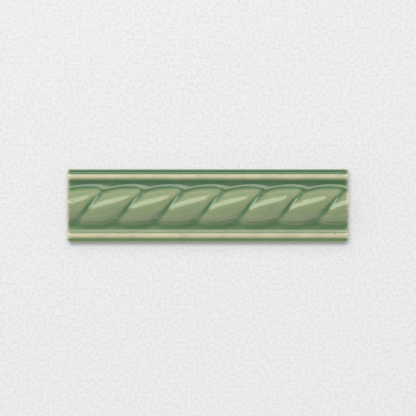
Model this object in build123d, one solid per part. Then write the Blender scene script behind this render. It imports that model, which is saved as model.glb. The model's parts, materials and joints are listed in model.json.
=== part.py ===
from build123d import *
from math import exp, sqrt
import os

# Rope moulding tile: one pressed and glazed ceramic border tile, lying on its back.
# X runs along the tile, Y across it and Z up. The origin is the centre of the bedding face.
# Sizes are millimetres.

# Outer size. Seven rope strands fit one tile, so the rope runs on from tile to tile.
tile_length = 152.0
tile_width = 39.5
strands_per_tile = 7
strand_pitch = tile_length / strands_per_tile

# Section across the tile, from the middle outwards: rope, groove, bead and a narrow flat ledge.
rope_radius = 10.5
groove_centre = 12.3
groove_floor = 6.6
cove_radius = 3.7
bead_centre = 16.0
bead_radius = 2.6
quirk_radius = 0.5
ledge_height = 7.0

# Strands: each is a crowned band laid slantwise over the rope, with a valley between two of them
# and a rounded slot along the valley's left side. The slant is how far a valley moves along
# the tile for each millimetre across it, and the bend is how much that grows by the rope's foot.
# The relief is shallower there and the slot is wider.
crown_fall = 1.0
crown_ease = 0.25
slot_depth = 0.8
slot_reach = 3.0
slot_offset = 1.5
valley_start = 1.6
valley_slant = 1.0
valley_bend = 0.1
foot_fade = 0.5
foot_widening = 0.5

# Edges: the rounded plan corners and the bevelled arris all along the top.
corner_radius = 1.0
arris = 0.5

# Back: shallow grooves that key the tile to its adhesive.
key_count = 3
key_width = 5.0
key_depth = 0.8
key_spacing = 11.0
key_end_margin = 9.0
key_draft = 25

# Spacing and closeness of the surface that is drawn over the rope.
stations_per_strand = 12
points_across = 33
surface_tolerance = 0.02

# Heights worked out from the section: where the rope's bar and the bead have their axes.
axis_drop = sqrt((rope_radius + cove_radius) ** 2 - groove_centre**2)
rope_axis = groove_floor + cove_radius - axis_drop
bead_rise = sqrt((cove_radius + bead_radius) ** 2 - (bead_centre - groove_centre) ** 2)
bead_axis = groove_floor + cove_radius - bead_rise


def strand_depth(x, y):
    """How far the rope lies under a plain round bar, by its place across one strand."""
    across = max(-1, min(y / rope_radius, 1))
    path = valley_start + (valley_slant + valley_bend * across) * y
    share = (x - path) / strand_pitch
    share -= round(share)
    rise = sqrt(4 * share**2 + crown_ease**2) - crown_ease
    rise /= sqrt(1 + crown_ease**2) - crown_ease
    off_slot = share * strand_pitch + slot_offset
    reach = slot_reach * (1 + foot_widening * across**2)
    depth = crown_fall * (1 - rise) ** 2 + slot_depth * exp(-((off_slot / reach) ** 2))
    return depth * (1 - foot_fade * across**2)


def rope_height(x, y):
    """Height of a bar of the local radius, with coves that run out into the groove floors."""
    radius = rope_radius - strand_depth(x, y)
    out = abs(y)
    cove_end = sqrt((radius + cove_radius) ** 2 - axis_drop**2)
    if out < cove_end * radius / (radius + cove_radius):
        return rope_axis + sqrt(radius**2 - out**2)
    if out < cove_end:
        return groove_floor + cove_radius - sqrt(cove_radius**2 - (cove_end - out) ** 2)
    return groove_floor


def rope_block():
    """The middle of the tile: everything under the rope and the inner halves of the grooves."""
    stations = stations_per_strand * strands_per_tile
    grid = []
    for i in range(stations + 1):
        x = tile_length * (i / stations - 0.5)
        row = []
        for j in range(points_across):
            y = groove_centre * (2 * j / (points_across - 1) - 1)
            row.append(Vector(x, y, rope_height(x, y)))
        grid.append(row)
    surface = Face.make_surface_from_array_of_points(grid, tol=surface_tolerance)
    return extrude(surface, amount=2 * rope_radius, dir=(0, 0, -1))


def arc_middle(start, end, centre, radius):
    """The middle of the short arc from start to end about a centre."""
    across = (start[0] + end[0]) / 2 - centre[0]
    up = (start[1] + end[1]) / 2 - centre[1]
    scale = radius / sqrt(across**2 + up**2)
    return (centre[0] + across * scale, centre[1] + up * scale)


def rail():
    """One long side as a section: half the groove, the bead, its quirk and the ledge."""
    half = tile_width / 2

    # Cove from the groove floor to the bead.
    cove = (groove_centre, groove_floor + cove_radius)
    bead = (bead_centre, bead_axis)
    share = cove_radius / (cove_radius + bead_radius)
    cove_start = (groove_centre, groove_floor)
    cove_end = (cove[0] + share * (bead[0] - cove[0]), cove[1] - share * bead_rise)
    cove_middle = arc_middle(cove_start, cove_end, cove, cove_radius)
    bead_top = (bead[0], bead[1] + bead_radius)

    # Quirk: a small cove that touches both the bead and the ledge.
    reach = bead_radius + quirk_radius
    rise = ledge_height + quirk_radius - bead[1]
    out = sqrt(reach**2 - rise**2)
    quirk = (bead[0] + out, bead[1] + rise)
    share = bead_radius / reach
    bead_end = (bead[0] + share * out, bead[1] + share * rise)
    quirk_end = (quirk[0], ledge_height)
    quirk_middle = arc_middle(bead_end, quirk_end, quirk, quirk_radius)

    # Ledge, bevelled arris and the upright side.
    ledge_end = (half - arris, ledge_height)
    side_top = (half, ledge_height - arris)

    with BuildSketch(Plane.YZ) as section:
        with BuildLine():
            ThreePointArc(cove_start, cove_middle, cove_end)
            ThreePointArc(cove_end, bead_top, bead_end)
            ThreePointArc(bead_end, quirk_middle, quirk_end)
            Polyline(quirk_end, ledge_end, side_top, (half, 0), (groove_centre, 0), cove_start)
        make_face()
    return extrude(section.sketch, amount=tile_length / 2, both=True)


def below_back():
    """Everything under the bedding face, where the rope's block is cut off."""
    depth = 2 * rope_radius
    return Pos(0, 0, -depth / 2) * Box(2 * tile_length, 2 * tile_width, depth)


def end_bevel(body, side):
    """A wedge over one end that follows its section and bevels the arris at 45 degrees."""
    end = body.faces().sort_by(Axis.X)[-1 if side > 0 else 0]
    plane = Plane((end.center().X, 0, -arris), x_dir=(0, 1, 0), z_dir=(1, 0, 0))
    sky = plane * Rectangle(tile_width, 4 * rope_radius, align=(Align.CENTER, Align.MIN))
    return extrude(sky - Pos(0, 0, -arris) * end, amount=2 * arris, dir=(-side, 0, 1))


def keys():
    """Shallow grooves in the back with rounded ends and drafted sides."""
    length = tile_length - 2 * key_end_margin
    places = [key_spacing * (i - (key_count - 1) / 2) for i in range(key_count)]
    slots = [Pos(0, y, 0) * SlotOverall(length, key_width) for y in places]
    return [extrude(slot, amount=key_depth, taper=key_draft) for slot in slots]


def tile():
    side = rail()
    body = rope_block() + side + mirror(side, Plane.XZ) - below_back()
    for end in (1, -1):
        body -= end_bevel(body, end)
    body = fillet(body.edges().filter_by(Axis.Z), corner_radius)
    return body - keys()


os.makedirs("parts", exist_ok=True)
export_step(tile(), "parts/rope_moulding_tile.step")
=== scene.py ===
import bpy
import json
import math
import numpy as np
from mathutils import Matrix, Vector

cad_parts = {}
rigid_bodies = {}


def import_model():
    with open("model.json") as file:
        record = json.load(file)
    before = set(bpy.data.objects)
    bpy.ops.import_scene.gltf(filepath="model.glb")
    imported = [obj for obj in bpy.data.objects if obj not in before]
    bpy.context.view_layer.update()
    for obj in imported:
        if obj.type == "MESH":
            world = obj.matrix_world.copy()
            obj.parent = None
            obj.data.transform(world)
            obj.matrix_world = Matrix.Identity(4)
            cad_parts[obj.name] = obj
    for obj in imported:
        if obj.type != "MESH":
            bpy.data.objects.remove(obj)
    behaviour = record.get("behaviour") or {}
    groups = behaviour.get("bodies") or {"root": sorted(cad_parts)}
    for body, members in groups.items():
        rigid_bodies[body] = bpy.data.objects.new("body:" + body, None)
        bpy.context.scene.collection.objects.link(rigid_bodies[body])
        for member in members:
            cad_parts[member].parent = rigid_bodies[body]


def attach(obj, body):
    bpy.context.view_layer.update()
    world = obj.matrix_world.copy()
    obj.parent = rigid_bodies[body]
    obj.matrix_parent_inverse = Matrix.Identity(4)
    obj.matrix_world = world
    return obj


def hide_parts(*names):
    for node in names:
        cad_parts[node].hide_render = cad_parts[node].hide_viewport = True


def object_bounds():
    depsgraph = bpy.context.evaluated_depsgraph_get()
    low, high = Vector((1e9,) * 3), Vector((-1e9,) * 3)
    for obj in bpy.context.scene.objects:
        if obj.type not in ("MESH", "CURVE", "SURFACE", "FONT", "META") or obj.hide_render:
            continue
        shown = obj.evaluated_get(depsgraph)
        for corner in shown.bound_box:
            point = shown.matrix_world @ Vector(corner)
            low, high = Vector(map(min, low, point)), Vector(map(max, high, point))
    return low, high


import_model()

cadLow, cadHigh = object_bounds()
mm = 0.001
strandCount = 7  # rope strands that fit one tile
strandPitch = (cadHigh.x - cadLow.x) / strandCount / mm
halfLength = (cadHigh.x - cadLow.x) / 2 / mm
halfWidth = (cadHigh.y - cadLow.y) / 2 / mm


def toLinear(hexColour):
    channels = [int(hexColour[i:i + 2], 16) / 255 for i in (1, 3, 5)]
    curve = [c / 12.92 if c <= 0.04045 else ((c + 0.055) / 1.055) ** 2.4 for c in channels]
    return (*curve, 1.0)


def addNode(owner, kind, settings=None, links=None):
    # links maps an input's name or number to a value or to (node, output)
    node = owner.node_tree.nodes.new(kind)
    for name, value in (settings or {}).items():
        setattr(node, name, value)
    for name, value in (links or {}).items():
        if isinstance(value, tuple) and isinstance(value[0], bpy.types.Node):
            owner.node_tree.links.new(value[0].outputs[value[1]], node.inputs[name])
        else:
            node.inputs[name].default_value = value
    return node


def newMaterial(name):
    material = bpy.data.materials.new(name)
    material.use_nodes = True
    material.node_tree.nodes.clear()
    return material


def rampStops(ramp, stops):
    # colour stops as (place, hex)
    elements = ramp.color_ramp.elements
    while len(elements) > 1:
        elements.remove(elements[-1])
    elements[0].position = stops[0][0]
    elements[0].color = toLinear(stops[0][1])
    for place, colour in stops[1:]:
        element = elements.new(place)
        element.color = toLinear(colour)


# The relief, in millimetres: same section and same strands as the solid under it.
relief = {
    "ropeRadius": 10.5,
    "grooveCentre": 12.3,
    "grooveFloor": 6.6,
    "coveRadius": 3.7,
    "beadCentre": 16.0,
    "beadRadius": 2.6,
    "quirkRadius": 0.5,  # the small cove between the bead and the ledge
    "ledgeHeight": 7.0,
    "crownFall": 1.0,  # how far a strand falls from its crown to the valley
    "crownEase": 0.25,  # share of half a strand over which the valley's bottom rounds
    "slotDepth": 0.8,  # the rounded slot along each valley's left side
    "slotReach": 3.0,
    "slotOffset": 1.5,
    "valleyStart": 1.6,
    "valleySlant": 1.0,  # how far a valley moves along the tile for each mm across it
    "valleyBend": 0.1,
    "footFade": 0.5,  # the relief is shallower by the rope's foot, and the slot wider
    "footWidening": 0.5,
    "cornerRadius": 1.0,
    "arrisRadius": 0.45,
    "gridStep": 0.32,
    "arrisSteps": (0.0, 0.015, 0.06, 0.14, 0.26, 0.42, 0.6, 0.82),  # grid lines in from an edge
}


def acrossRope(y):
    # -1 at the near foot of the rope, 1 at the far one
    return np.clip(y / relief["ropeRadius"], -1, 1)


def valleyPath(y):
    # how far along the tile a valley has moved at this place across it
    slant = relief["valleySlant"] + relief["valleyBend"] * acrossRope(y)
    return relief["valleyStart"] + slant * y


def ropeHeight(x, y):
    # a bar of the local radius, with coves that run out into the groove floors
    r = relief
    across = acrossRope(y)
    share = (x - valleyPath(y)) / strandPitch
    share = share - np.round(share)
    ease = r["crownEase"]
    rise = (np.sqrt(4 * share ** 2 + ease ** 2) - ease) / (math.sqrt(1 + ease ** 2) - ease)
    offSlot = share * strandPitch + r["slotOffset"]
    reach = r["slotReach"] * (1 + r["footWidening"] * across ** 2)
    depth = r["crownFall"] * (1 - rise) ** 2 + r["slotDepth"] * np.exp(-(offSlot / reach) ** 2)
    radius = r["ropeRadius"] - depth * (1 - r["footFade"] * across ** 2)
    cove = r["coveRadius"]
    drop = math.sqrt((r["ropeRadius"] + cove) ** 2 - r["grooveCentre"] ** 2)
    axis = r["grooveFloor"] + cove - drop
    out = np.abs(y)
    coveEnd = np.sqrt((radius + cove) ** 2 - drop ** 2)
    bar = axis + np.sqrt(np.maximum(radius ** 2 - out ** 2, 0))
    foot = r["grooveFloor"] + cove - np.sqrt(np.maximum(cove ** 2 - (coveEnd - out) ** 2, 0))
    height = np.where(out < coveEnd * radius / (radius + cove), bar, foot)
    return np.where(out < coveEnd, height, r["grooveFloor"])


def railHeight(y):
    # the outer half of a groove, the bead, its quirk and the ledge
    r = relief
    out = np.abs(y)
    cove, bead, quirk = r["coveRadius"], r["beadRadius"], r["quirkRadius"]
    rise = math.sqrt((cove + bead) ** 2 - (r["beadCentre"] - r["grooveCentre"]) ** 2)
    beadAxis = r["grooveFloor"] + cove - rise
    coveEnd = r["grooveCentre"] + (r["beadCentre"] - r["grooveCentre"]) * cove / (cove + bead)
    quirkRise = r["ledgeHeight"] + quirk - beadAxis
    quirkY = r["beadCentre"] + math.sqrt((bead + quirk) ** 2 - quirkRise ** 2)
    beadEnd = r["beadCentre"] + (quirkY - r["beadCentre"]) * bead / (bead + quirk)
    low = r["ledgeHeight"] + quirk - np.sqrt(np.maximum(quirk ** 2 - (out - quirkY) ** 2, 0))
    height = np.where(out < quirkY, low, r["ledgeHeight"])
    top = beadAxis + np.sqrt(np.maximum(bead ** 2 - (out - r["beadCentre"]) ** 2, 0))
    height = np.where(out < beadEnd, top, height)
    wall = np.sqrt(np.maximum(cove ** 2 - (out - r["grooveCentre"]) ** 2, 0))
    return np.where(out < coveEnd, r["grooveFloor"] + cove - wall, height)


def faceHeight(x, y):
    return np.where(np.abs(y) < relief["grooveCentre"], ropeHeight(x, y), railHeight(y))


def arrisFall(edge):
    # how far the rounded arris lies below the face, by the distance in from the edge
    radius = relief["arrisRadius"]
    fall = np.clip(radius - edge, 0, radius)
    return radius - np.sqrt(np.maximum(radius ** 2 - fall ** 2, 0))


# The glaze: it draws off ridges and gathers in hollows. Lengths are in millimetres, and its
# depths run from 0, where it is bare, to 1, where it is a pool.
glazeCoat = {
    "sampleStep": 0.25,
    "fineReach": 0.4,  # how far the surface is averaged before its bending is read
    "wideReach": 1.0,
    "fineShare": 0.6,
    "evenDepth": 0.5,  # where the face is flat
    "gather": 1.05,  # depth gained for a bending of 1/mm
    "nearShift": 0.25,  # how far the depth pattern is shifted toward the near side
    "farSideGain": 0.95,  # share by which hollows read deeper toward the far edge
    "cling": 0.4,  # share by which less of it drew off the strands' own ridges
    "footDraw": 0.05,  # share by which it drew past the strands' feet
    "footReach": 2.0,
    "arrisDraw": 0.3,
    "arrisReach": 0.9,
    "ledgePool": 0.16,  # depth gained on the level ledges
    "ledgeStart": 1.9,  # out from the middle of the bead
    "settle": 0.002,  # below the solid's top, so that the coat stays inside its box
    "lineHeight": 1.3,  # where the glaze stops on the sides, above the back
    # each wave of that line: its height, its turn along X and along Y for 1 mm, its start
    "lineWaves": ((0.22, 0.31, 0.0, 1.3), (0.16, 0.83, 0.5, 0.0), (0.1, 0.0, 1.7, 0.0)),
    "edgeThickness": 0.12,
    "edgeTuck": 0.04,  # how the glaze's lower edge rounds in to the clay
    "edgeOverlap": 0.05,
    "edgeCurl": 0.02,
    "sideRings": 9,
    "sideDepth": 0.46,
    "lineDepth": 0.58,  # a little thicker at the line, where it stopped running
    "sideBlend": 4.0,  # the sides' own depth is reached a quarter of the way down
    "combFade": 2.5,  # how far the combed lines fade toward the rope's foot
    "combLimit": 0.6,  # glaze depth that hides them
    "combEase": 0.15,
}


def spread(field, reach):
    # the field averaged over a reach in samples, with a bell-shaped weight
    size = int(math.ceil(4 * reach))
    offsets = np.arange(-size, size + 1)
    weight = np.exp(-offsets ** 2 / (2 * reach ** 2))
    weight = weight / weight.sum()
    padded = np.pad(field, size, mode="edge")
    padded = sum(w * padded[i:i + padded.shape[0] - 2 * size] for i, w in enumerate(weight))
    return sum(w * padded[:, i:i + padded.shape[1] - 2 * size] for i, w in enumerate(weight))


def bending(field, step):
    # how much the surface cups: above 0 in hollows, below 0 on ridges, in 1/mm
    alongX, alongY = np.gradient(field, step)
    steep = np.sqrt(1 + alongX ** 2 + alongY ** 2)
    return np.gradient(alongX / steep, step, axis=0) + np.gradient(alongY / steep, step, axis=1)


def glazeDepthField():
    c = glazeCoat
    step = c["sampleStep"]
    xs = np.arange(-halfLength, halfLength + step, step)
    ys = np.arange(-halfWidth, halfWidth + step, step)
    gridX, gridY = np.meshgrid(xs, ys, indexing="ij")
    # the depth is drawn down on every arris but the far one, so that one reads darker
    edge = np.minimum(halfLength - np.abs(gridX), halfWidth + gridY)
    height = faceHeight(gridX, gridY) - arrisFall(edge)
    fine = bending(spread(height, c["fineReach"] / step), step)
    wide = bending(spread(height, c["wideReach"] / step), step)
    cup = c["fineShare"] * fine + (1 - c["fineShare"]) * wide
    cup = cup - c["arrisDraw"] * np.clip(1 - edge / c["arrisReach"], 0, 1)
    # hollows read deeper toward the far side and lighter toward the near one
    pooling = 1 + c["farSideGain"] * gridY / halfWidth
    # the glaze clung to the strands' own ridges, less so toward the rope's foot
    middle = np.clip(1 - (gridY / relief["ropeRadius"]) ** 2, 0, 1)
    gather = c["gather"] * np.where(cup > 0, pooling, 1 - c["cling"] * middle)
    ledge = c["ledgePool"] * (np.abs(gridY) > relief["beadCentre"] + c["ledgeStart"])
    return xs, ys, np.clip(c["evenDepth"] + gather * cup + ledge, 0, 1)


def sampleField(xs, ys, field, x, y):
    # the field read between its samples, and just short of its last ones
    lastSample = 1.001
    i = np.clip((x - xs[0]) / (xs[1] - xs[0]), 0, len(xs) - lastSample)
    j = np.clip((y - ys[0]) / (ys[1] - ys[0]), 0, len(ys) - lastSample)
    i0, j0 = i.astype(int), j.astype(int)
    di, dj = i - i0, j - j0
    low = field[i0, j0] * (1 - dj) + field[i0, j0 + 1] * dj
    high = field[i0 + 1, j0] * (1 - dj) + field[i0 + 1, j0 + 1] * dj
    return low * (1 - di) + high * di


def gridLines(half):
    # places from edge to edge, close together where the arris rounds over
    fine = np.array(relief["arrisSteps"])
    inner = half - fine[-1]
    count = int(round(2 * inner / relief["gridStep"]))
    middle = np.linspace(-inner, inner, count + 1)
    return np.concatenate([-half + fine[:-1], middle, half - fine[:-1][::-1]])


def roundCorners(x, y, half):
    # turns the square plan corners of a grid into round ones, and gives the way in from the edge
    radius = relief["cornerRadius"]
    dx = np.abs(x) - (half[0] - radius)
    dy = np.abs(y) - (half[1] - radius)
    corner = (dx > 0) & (dy > 0)
    scale = np.where(corner, np.maximum(dx, dy) / np.maximum(np.hypot(dx, dy), 1e-9), 1)
    newX = np.where(corner, np.sign(x) * (half[0] - radius + dx * scale), x)
    newY = np.where(corner, np.sign(y) * (half[1] - radius + dy * scale), y)
    edge = np.minimum(half[0] - np.abs(x), half[1] - np.abs(y))
    return newX, newY, edge


def gridFaces(number):
    quads = [number[:-1, :-1], number[1:, :-1], number[1:, 1:], number[:-1, 1:]]
    return np.stack(quads, -1).reshape(-1, 4).tolist()


def gridRim(number):
    # the rim's vertices in order, once round the grid
    sides = (number[:, 0], number[-1, 1:], number[-2::-1, -1], number[0, -2:0:-1])
    return [v for side in sides for v in side]


def bandFaces(last, ring):
    # the band of faces from one ring of vertices to the next
    ahead = [(i + 1) % len(ring) for i in range(len(ring))]
    return [(last[i], ring[i], ring[j], last[j]) for i, j in enumerate(ahead)]


def meshPiece(name, points, faces, material):
    mesh = bpy.data.meshes.new(name)
    mesh.from_pydata(points, [], faces)
    mesh.materials.append(material)
    mesh.update()
    piece = bpy.data.objects.new(name, mesh)
    bpy.context.scene.collection.objects.link(piece)
    mesh.polygons.foreach_set("use_smooth", [True] * len(mesh.polygons))
    return piece


def glazeLine(x, y):
    # the height at which the glaze stops, uneven all round the tile
    height = glazeCoat["lineHeight"]
    for rise, turnX, turnY, start in glazeCoat["lineWaves"]:
        height += rise * math.sin(x * turnX + y * turnY + start)
    return height


def combedPlace(x, y):
    # a strand's own coordinates: along its combed lines, across them, and which strand it is
    count = np.round((x - valleyPath(y)) / strandPitch)
    local = x - count * strandPitch
    lines = y - sageGlaze["lineRise"] * local + sageGlaze["lineArch"] * local ** 2
    return np.stack([local, lines, count * sageGlaze["strandShift"]], -1)


def makeGlazeCoat(material):
    # the glazed face with its rounded arris, and the sides down to where the glaze stops
    c = glazeCoat
    gridX, gridY = np.meshgrid(gridLines(halfLength), gridLines(halfWidth), indexing="ij")
    x, y, edge = roundCorners(gridX, gridY, (halfLength, halfWidth))
    z = faceHeight(x, y) - arrisFall(edge) - c["settle"]
    # the glaze drew a little past the strands' feet, into the groove, before it set
    toFoot = np.clip((relief["grooveCentre"] - np.abs(y)) / c["footReach"], 0, 1)
    drawn = y * (1 - c["footDraw"] * toFoot)
    depth = sampleField(*glazeDepthField(), x, drawn + c["nearShift"])
    number = np.arange(x.size).reshape(x.shape)
    faces = gridFaces(number)
    rim = gridRim(number)
    flatX, flatY, flatZ = x.ravel(), y.ravel(), z.ravel()
    depths = list(depth.ravel())
    points = list(zip(flatX * mm, flatY * mm, flatZ * mm))

    # rings of vertices down the sides; the last two round the glaze's edge in to the clay
    rings = c["sideRings"]
    last = rim
    for k in range(1, rings + 1):
        share = k / (rings - 1)
        tuck = c["edgeTuck"] if k == rings - 1 else 0.0
        if k == rings:
            tuck = c["edgeThickness"] + c["edgeOverlap"]
        sideDepth = c["sideDepth"] if k < rings - 2 else c["lineDepth"]
        ring = []
        for v in rim:
            px, py, pz = flatX[v], flatY[v], flatZ[v]
            bottom = glazeLine(px, py)
            height = pz + (bottom - pz) * min(share, 1)
            if k == rings:
                height = bottom + c["edgeCurl"]
            onEnd = abs(px) > halfLength - relief["cornerRadius"]
            onSide = abs(py) > halfWidth - relief["cornerRadius"]
            inX = px - math.copysign(tuck, px) * onEnd
            inY = py - math.copysign(tuck, py) * onSide
            ring.append(len(points))
            points.append((inX * mm, inY * mm, height * mm))
            depths.append(depths[v] + (sideDepth - depths[v]) * min(share * c["sideBlend"], 1))
        faces += bandFaces(last, ring)
        last = ring
    piece = meshPiece("glazed_face", points, faces, material)

    # the strands carry fine combed lines, which stop at the rope's foot and at the valleys
    combed = np.clip((relief["ropeRadius"] - np.abs(flatY)) / c["combFade"], 0, 1)
    combed = combed * np.clip((c["combLimit"] - depth.ravel()) / c["combEase"], 0, 1)
    below = len(points) - len(combed)
    combed = np.concatenate([combed, np.zeros(below)])
    place = np.concatenate([combedPlace(x, y).reshape(-1, 3), np.zeros((below, 3))])
    kept = (
        ("glazeDepth", "FLOAT", "value", np.array(depths)),
        ("combedShare", "FLOAT", "value", combed),
        ("combedPlace", "FLOAT_VECTOR", "vector", place.ravel()),
    )
    for name, kind, field, values in kept:
        layer = piece.data.attributes.new(name, kind, "POINT")
        layer.data.foreach_set(field, values.astype(np.float32))
    print("glazed face:", len(piece.data.polygons), "faces")
    return piece


# The clay under the glaze: bare sides near the foot and the keyed back, in millimetres.
clayBody = {
    "inset": 0.12,
    "gridStep": 1.0,
    "edgeSteps": (0.1, 0.35, 1.0),  # grid lines in from an edge
    "keyCount": 3,
    "keyWidth": 5.0,
    "keyDepth": 0.8,
    "keySpacing": 11.0,
    "keyEndMargin": 9.0,
    "keyRun": 0.37,  # width of a key's drafted side
    "keySteps": (1.6, 0.8, 0.0),  # grid lines inside a key
    "keyEndReach": 3.0,
    "keyEndLines": 13,
    "footRadius": 0.35,
    "topHeight": 5.0,
}


def spacedLines(half, extra):
    # even grid lines from edge to edge, with extra ones at the same places on both sides
    count = int(2 * half / clayBody["gridStep"]) + 1
    places = set(np.round(np.linspace(-half, half, count), 4))
    for e in list(extra) + [half - step for step in clayBody["edgeSteps"]]:
        places.update((round(e, 4), round(-e, 4)))
    return np.array(sorted(places))


def makeClayBody(material):
    b = clayBody
    half = (halfLength - b["inset"], halfWidth - b["inset"])
    slotHalf = halfLength - b["keyEndMargin"]
    keyHalf = b["keyWidth"] / 2
    keyCentres = [b["keySpacing"] * (k - (b["keyCount"] - 1) / 2) for k in range(b["keyCount"])]
    keyEnds = slotHalf - np.linspace(0, b["keyEndReach"], b["keyEndLines"])
    offsets = (keyHalf, keyHalf - b["keyRun"]) + b["keySteps"]
    keySides = [centre + side * off for centre in keyCentres for off in offsets for side in (1, -1)]
    lineX, lineY = spacedLines(half[0], keyEnds), spacedLines(half[1], keySides)
    gridX, gridY = np.meshgrid(lineX, lineY, indexing="ij")
    x, y, edge = roundCorners(gridX, gridY, half)
    # the keys, as drafted slots with round ends
    z = np.zeros_like(x)
    for centre in keyCentres:
        pastEnd = np.maximum(np.abs(x) - (slotHalf - keyHalf), 0)
        inside = keyHalf - np.hypot(pastEnd, y - centre)
        z = np.maximum(z, b["keyDepth"] * np.clip(inside / b["keyRun"], 0, 1))
    # the foot's rounded edge
    fall = np.clip(b["footRadius"] - edge, 0, b["footRadius"])
    z = z + b["footRadius"] - np.sqrt(b["footRadius"] ** 2 - fall ** 2)
    number = np.arange(x.size).reshape(x.shape)
    faces = gridFaces(number.T)  # turned over, so that the back faces down
    points = list(zip(x.ravel() * mm, y.ravel() * mm, z.ravel() * mm))
    rim = gridRim(number)
    top = []
    for v in rim:
        top.append(len(points))
        points.append((points[v][0], points[v][1], b["topHeight"] * mm))
    for i in range(len(rim)):
        j = (i + 1) % len(rim)
        faces.append((rim[i], rim[j], top[j], top[i]))
    faces.append(tuple(top))
    piece = meshPiece("clay_body", points, faces, material)
    piece.data.polygons[len(piece.data.polygons) - 1].use_smooth = False
    print("clay body:", len(piece.data.polygons), "faces")
    return piece


# Sage glaze over cream earthenware, dipped and fired: translucent and glossy, so it reads
# deep green where it pools and lets the cream body through where it thins on ridges.
sageGlaze = {
    "ridge": "#dad5b4",
    "thin": "#a1a77f",
    "even": "#8fa37b",
    "full": "#64875f",
    "pool": "#4a7250",
    "depths": (0.12, 0.27, 0.37, 0.47, 0.6, 0.9),  # for ridge, thin, even twice, full and pool
    "ior": 1.7,  # glazes start near 1.5, and this one's sheen is stronger
    "dullEnd": 0.21,  # roughness at the left end
    "brightEnd": 0.1,  # and at the right one, where the highlights are crisper
    "seedSpacing": 11.0,  # mm between seeds, the small blisters that stand up in the glaze
    "seedSize": 0.5,
    "seedHeight": 0.14,
    "cloudSize": 9.0,  # mm, soft drifts of thicker and thinner glaze
    "cloudShift": 0.035,
    "noiseSpan": (0.3, 0.7),  # what most of a noise lies between
    "streakLength": 7.0,  # mm along a combed line
    "streakWidth": 0.45,  # mm; the finest real lines can't show, so these are coarser
    "streakShift": (-0.13, 0.12),
    "streakHeight": 0.035,
    "lineRise": 0.34,  # how the combed lines climb and arch over a strand
    "lineArch": 0.012,
    "strandShift": 5.3,  # gives each strand lines of its own
    "rippleSize": 4.0,  # mm, the slow ripple of a dipped surface
    "rippleHeight": 0.012,
}


def makeSageGlaze():
    g = sageGlaze
    m = newMaterial("dippedSageGlaze")
    place = addNode(m, "ShaderNodeTexCoord")
    depth = addNode(m, "ShaderNodeAttribute", {"attribute_name": "glazeDepth"})
    combed = addNode(m, "ShaderNodeAttribute", {"attribute_name": "combedShare"})
    lines = addNode(m, "ShaderNodeAttribute", {"attribute_name": "combedPlace"})

    # glaze depth, shifted by soft clouds and by the combed lines, turned to colour
    cloud = addNode(m, "ShaderNodeTexNoise", links={
        "Vector": (place, "Object"), "Scale": 1 / (g["cloudSize"] * mm),
        "Detail": 3.0, "Roughness": 0.55})
    stretched = addNode(m, "ShaderNodeMapping", {"vector_type": "TEXTURE"}, {
        "Vector": (lines, "Vector"), "Scale": (g["streakLength"], g["streakWidth"], 1.0)})
    streak = addNode(m, "ShaderNodeTexNoise", links={
        "Vector": (stretched, "Vector"), "Scale": 1.0, "Detail": 2.0, "Roughness": 0.5})
    cloudShift = addNode(m, "ShaderNodeMapRange", links={
        "Value": (cloud, "Fac"), "From Min": g["noiseSpan"][0], "From Max": g["noiseSpan"][1],
        "To Min": -g["cloudShift"], "To Max": g["cloudShift"]})
    streakShift = addNode(m, "ShaderNodeMapRange", links={
        "Value": (streak, "Fac"), "From Min": g["noiseSpan"][0], "From Max": g["noiseSpan"][1],
        "To Min": g["streakShift"][0], "To Max": g["streakShift"][1]})
    clouded = addNode(m, "ShaderNodeMath", {"operation": "ADD"}, {
        0: (depth, "Fac"), 1: (cloudShift, "Result")})
    total = addNode(m, "ShaderNodeMath", {"operation": "MULTIPLY_ADD", "use_clamp": True}, {
        0: (streakShift, "Result"), 1: (combed, "Fac"), 2: (clouded, 0)})
    colour = addNode(m, "ShaderNodeValToRGB", links={"Fac": (total, 0)})
    names = ("ridge", "thin", "even", "even", "full", "pool")
    rampStops(colour, [(at, g[name]) for at, name in zip(g["depths"], names)])

    # relief that is finer than the mesh: seeds, slow ripples and the combed lines
    nearest = addNode(m, "ShaderNodeTexVoronoi", {"voronoi_dimensions": "2D"}, {
        "Vector": (place, "Object"), "Scale": 1 / (g["seedSpacing"] * mm)})
    seed = addNode(m, "ShaderNodeMapRange", {"interpolation_type": "SMOOTHSTEP"}, {
        "Value": (nearest, "Distance"), "From Min": 0.0,
        "From Max": g["seedSize"] / g["seedSpacing"], "To Min": 1.0, "To Max": 0.0})
    ripple = addNode(m, "ShaderNodeTexNoise", links={
        "Vector": (place, "Object"), "Scale": 1 / (g["rippleSize"] * mm),
        "Detail": 1.0, "Roughness": 0.4})
    raised = addNode(m, "ShaderNodeBump", links={
        "Height": (seed, "Result"), "Distance": g["seedHeight"] * mm, "Strength": 1.0})
    wavy = addNode(m, "ShaderNodeBump", links={
        "Height": (ripple, "Fac"), "Distance": g["rippleHeight"] * mm, "Strength": 1.0,
        "Normal": (raised, "Normal")})
    bump = addNode(m, "ShaderNodeBump", links={
        "Height": (streak, "Fac"), "Distance": g["streakHeight"] * mm,
        "Strength": (combed, "Fac"), "Normal": (wavy, "Normal")})

    # gloss, which grows a little toward the right end
    parts = addNode(m, "ShaderNodeSeparateXYZ", links={0: (place, "Object")})
    gloss = addNode(m, "ShaderNodeMapRange", links={
        "Value": (parts, "X"), "From Min": -halfLength * mm, "From Max": halfLength * mm,
        "To Min": g["dullEnd"], "To Max": g["brightEnd"]})
    shader = addNode(m, "ShaderNodeBsdfPrincipled", links={
        "Base Color": (colour, "Color"), "Normal": (bump, "Normal"),
        "Roughness": (gloss, "Result"), "IOR": g["ior"]})
    addNode(m, "ShaderNodeOutputMaterial", links={"Surface": (shader, "BSDF")})
    print("material:", m.name)
    return m


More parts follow.
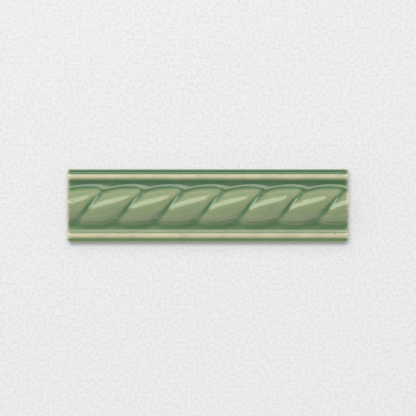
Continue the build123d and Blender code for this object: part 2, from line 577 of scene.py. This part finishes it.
# Cream earthenware, pressed and bisque fired: chalky and matt, with fine grog specks.
earthenware = {
    "body": "#d8cdb2",
    "speck": "#b8a888",
    "speckDepths": (0.33, 0.48),  # noise below the first is all speck, above the second all body
    "grogSize": 0.5,  # mm
    "grainSize": 0.15,  # mm; real clay's grain is too fine to show, so this is coarser
    "grainHeight": 0.03,
    "roughness": 0.85,
}


def makeEarthenware():
    e = earthenware
    m = newMaterial("bisqueEarthenware")
    place = addNode(m, "ShaderNodeTexCoord")
    grog = addNode(m, "ShaderNodeTexNoise", links={
        "Vector": (place, "Object"), "Scale": 1 / (e["grogSize"] * mm),
        "Detail": 3.0, "Roughness": 0.6})
    colour = addNode(m, "ShaderNodeValToRGB", links={"Fac": (grog, "Fac")})
    rampStops(colour, [(e["speckDepths"][0], e["speck"]), (e["speckDepths"][1], e["body"])])
    grain = addNode(m, "ShaderNodeTexNoise", links={
        "Vector": (place, "Object"), "Scale": 1 / (e["grainSize"] * mm), "Detail": 2.0})
    bump = addNode(m, "ShaderNodeBump", links={
        "Height": (grain, "Fac"), "Distance": e["grainHeight"] * mm, "Strength": 1.0})
    shader = addNode(m, "ShaderNodeBsdfPrincipled", links={
        "Base Color": (colour, "Color"), "Normal": (bump, "Normal"),
        "Roughness": e["roughness"]})
    addNode(m, "ShaderNodeOutputMaterial", links={"Surface": (shader, "BSDF")})
    print("material:", m.name)
    return m


# The sheet that the tile lies on: uncoated pale card, pressed smooth, so it is matt with a
# faint grain. It glows by its own colour to the camera, and is shaded close round the tile.
card = {
    "pale": "#f0f1f2",
    "grey": "#e6e7e9",
    "grainDepths": (0.38, 0.56),  # noise below the first is all grey, above the second all pale
    "grainSize": 1.6,  # mm; real fibre is too fine to show, so this is coarser
    "roughness": 0.9,
    "sheen": 0.1,
    "size": 3.0,  # metres
    "rim": 0.5,  # mm of card under the tile's edge
    "lift": 0.75,  # share of what the camera sees that comes from the glow
    "contactReach": 2.6,  # mm that the close shading reaches
    "lean": (-0.15, 0.75, 0.64),  # toward the light, so that the shading lies on the near side
}


def makeCard():
    m = newMaterial("paleCard")
    place = addNode(m, "ShaderNodeTexCoord")
    grain = addNode(m, "ShaderNodeTexNoise", links={
        "Vector": (place, "Object"), "Scale": 1 / (card["grainSize"] * mm),
        "Detail": 3.0, "Roughness": 0.6})
    colour = addNode(m, "ShaderNodeValToRGB", links={"Fac": (grain, "Fac")})
    rampStops(colour, [(card["grainDepths"][0], card["grey"]),
                       (card["grainDepths"][1], card["pale"])])
    shader = addNode(m, "ShaderNodeBsdfPrincipled", links={
        "Base Color": (colour, "Color"), "Roughness": card["roughness"],
        "Specular IOR Level": card["sheen"]})
    # for the camera and for reflections, most of the card's level comes from its own colour,
    # darkened close to the tile
    lean = addNode(m, "ShaderNodeCombineXYZ", links=dict(enumerate(card["lean"])))
    close = addNode(m, "ShaderNodeAmbientOcclusion", {"samples": 16}, {
        "Color": (1, 1, 1, 1), "Distance": card["contactReach"] * mm, "Normal": (lean, 0)})
    glow = addNode(m, "ShaderNodeEmission", links={
        "Color": (colour, "Color"), "Strength": (close, "AO")})
    ray = addNode(m, "ShaderNodeLightPath")
    either = addNode(m, "ShaderNodeMath", {"operation": "MAXIMUM"}, {
        0: (ray, "Is Camera Ray"), 1: (ray, "Is Glossy Ray")})
    share = addNode(m, "ShaderNodeMath", {"operation": "MULTIPLY"}, {
        0: (either, 0), 1: card["lift"]})
    both = addNode(m, "ShaderNodeMixShader", links={0: (share, 0), 1: (shader, 0), 2: (glow, 0)})
    # from below the sheet is clear, as a glass table would be
    clear = addNode(m, "ShaderNodeBsdfTransparent")
    side = addNode(m, "ShaderNodeNewGeometry")
    top = addNode(m, "ShaderNodeMixShader", links={
        0: (side, "Backfacing"), 1: (both, 0), 2: (clear, 0)})
    addNode(m, "ShaderNodeOutputMaterial", links={"Surface": (top, 0)})
    # the sheet is cut out under the tile, so that its back is lit when seen from below
    half = card["size"] / 2
    cutX, cutY = (halfLength - card["rim"]) * mm, (halfWidth - card["rim"]) * mm
    turns = ((-1, -1), (1, -1), (1, 1), (-1, 1))
    outer = [(half * u, half * v, 0) for u, v in turns]
    inner = [(cutX * u, cutY * v, 0) for u, v in turns]
    faces = [(i, (i + 1) % 4, (i + 1) % 4 + 4, i + 4) for i in range(4)]
    mesh = bpy.data.meshes.new("floor_card")
    mesh.from_pydata(outer + inner, [], faces)
    mesh.materials.append(m)
    floor = bpy.data.objects.new("floor_card", mesh)
    bpy.context.scene.collection.objects.link(floor)
    print("floor ready")


# Light: one wide soft box above the far edge, and soft walls all round under a dark ceiling,
# so that level glaze stays clear and deep while the steep flanks pick up a pale sheen.
studio = {
    "boxTilt": 33.0,  # degrees from straight up toward the far side
    "boxTurn": -14.0,  # degrees toward the right, so this one stands to the left
    "boxDistance": 0.9,  # metres, like the box's own sizes
    "boxDepth": 0.58,
    "boxLength": 0.95,
    "boxPower": 5.6,  # watts
    "boxColour": "#fff9ec",
    "wallLevel": 1.15,  # past the tile's ends
    "nearLevel": 0.64,  # past its near edge
    "farLevel": 0.45,
    "nearToFar": (-0.4, 0.4),  # Y of the direction, from the near wall to the far one
    "wallTurn": (0.3, 0.9),  # size of that Y, from the end walls to the long ones
    "ceilingLevel": 0.22,
    "ceilingRim": (0.5, 0.8),  # Z of the direction, from the walls to the ceiling
    "fill": "#ffffff",
    "backdrop": "#ecebea",  # what the camera sees past the sheet
}


def makeStudio():
    s = studio
    lamp = bpy.data.lights.new("wide_soft_box", "AREA")
    lamp.shape = "RECTANGLE"
    lamp.size = s["boxLength"]
    lamp.size_y = s["boxDepth"]
    lamp.energy = s["boxPower"]
    lamp.color = toLinear(s["boxColour"])[:3]
    box = bpy.data.objects.new("wide_soft_box", lamp)
    tilt, turn = math.radians(s["boxTilt"]), math.radians(s["boxTurn"])
    d = s["boxDistance"]
    box.location = (d * math.sin(turn) * math.cos(tilt), d * math.sin(tilt),
                    d * math.cos(tilt) * math.cos(turn))
    box.rotation_euler = (-box.location).to_track_quat("-Z", "Y").to_euler()
    bpy.context.scene.collection.objects.link(box)

    world = bpy.data.worlds.new("studio_fill")
    world.use_nodes = True
    world.node_tree.nodes.clear()
    bpy.context.scene.world = world
    place = addNode(world, "ShaderNodeTexCoord")
    parts = addNode(world, "ShaderNodeSeparateXYZ", links={0: (place, "Generated")})
    nearOrFar = addNode(world, "ShaderNodeMapRange", links={
        "Value": (parts, "Y"), "From Min": s["nearToFar"][0], "From Max": s["nearToFar"][1],
        "To Min": s["nearLevel"], "To Max": s["farLevel"]})
    off = addNode(world, "ShaderNodeMath", {"operation": "ABSOLUTE"}, {0: (parts, "Y")})
    wall = addNode(world, "ShaderNodeMapRange", {"interpolation_type": "SMOOTHSTEP"}, {
        "Value": (off, 0), "From Min": s["wallTurn"][0], "From Max": s["wallTurn"][1],
        "To Min": s["wallLevel"], "To Max": (nearOrFar, "Result")})
    level = addNode(world, "ShaderNodeMapRange", {"interpolation_type": "SMOOTHSTEP"}, {
        "Value": (parts, "Z"), "From Min": s["ceilingRim"][0], "From Max": s["ceilingRim"][1],
        "To Min": (wall, "Result"), "To Max": s["ceilingLevel"]})
    fill = addNode(world, "ShaderNodeBackground", links={
        "Color": toLinear(s["fill"]), "Strength": (level, 0)})
    seen = addNode(world, "ShaderNodeBackground", links={
        "Color": toLinear(s["backdrop"]), "Strength": 1.0})
    ray = addNode(world, "ShaderNodeLightPath")
    both = addNode(world, "ShaderNodeMixShader", links={
        0: (ray, "Is Camera Ray"), 1: (fill, 0), 2: (seen, 0)})
    addNode(world, "ShaderNodeOutputWorld", links={"Surface": (both, 0)})
    print("light ready")


# Camera: straight down on the face through a long lens, in metres but for the sensor.
view = {
    "height": 1.6,  # above the face's own height
    "faceHeight": 0.007,
    "frameWidth": 0.2255,  # what the square frame takes in, at the face
    "aimY": -0.0012,
    "sensor": 36.0,
    "clip": (0.1, 20),
}


def makeCamera():
    lens = bpy.data.cameras.new("copy_stand")
    lens.sensor_width = view["sensor"]
    lens.lens = view["sensor"] * view["height"] / view["frameWidth"]
    lens.clip_start, lens.clip_end = view["clip"]
    camera = bpy.data.objects.new("copy_stand", lens)
    camera.location = (0, view["aimY"], view["height"] + view["faceHeight"])
    bpy.context.scene.collection.objects.link(camera)
    bpy.context.scene.camera = camera
    print("camera ready")


makeCamera()
makeStudio()
makeCard()
glazedFace = makeGlazeCoat(makeSageGlaze())
clay = makeClayBody(makeEarthenware())
for piece in (glazedFace, clay):
    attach(piece, "root")
    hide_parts("rope_moulding_tile")

bpy.context.scene.view_settings.view_transform = "Standard"
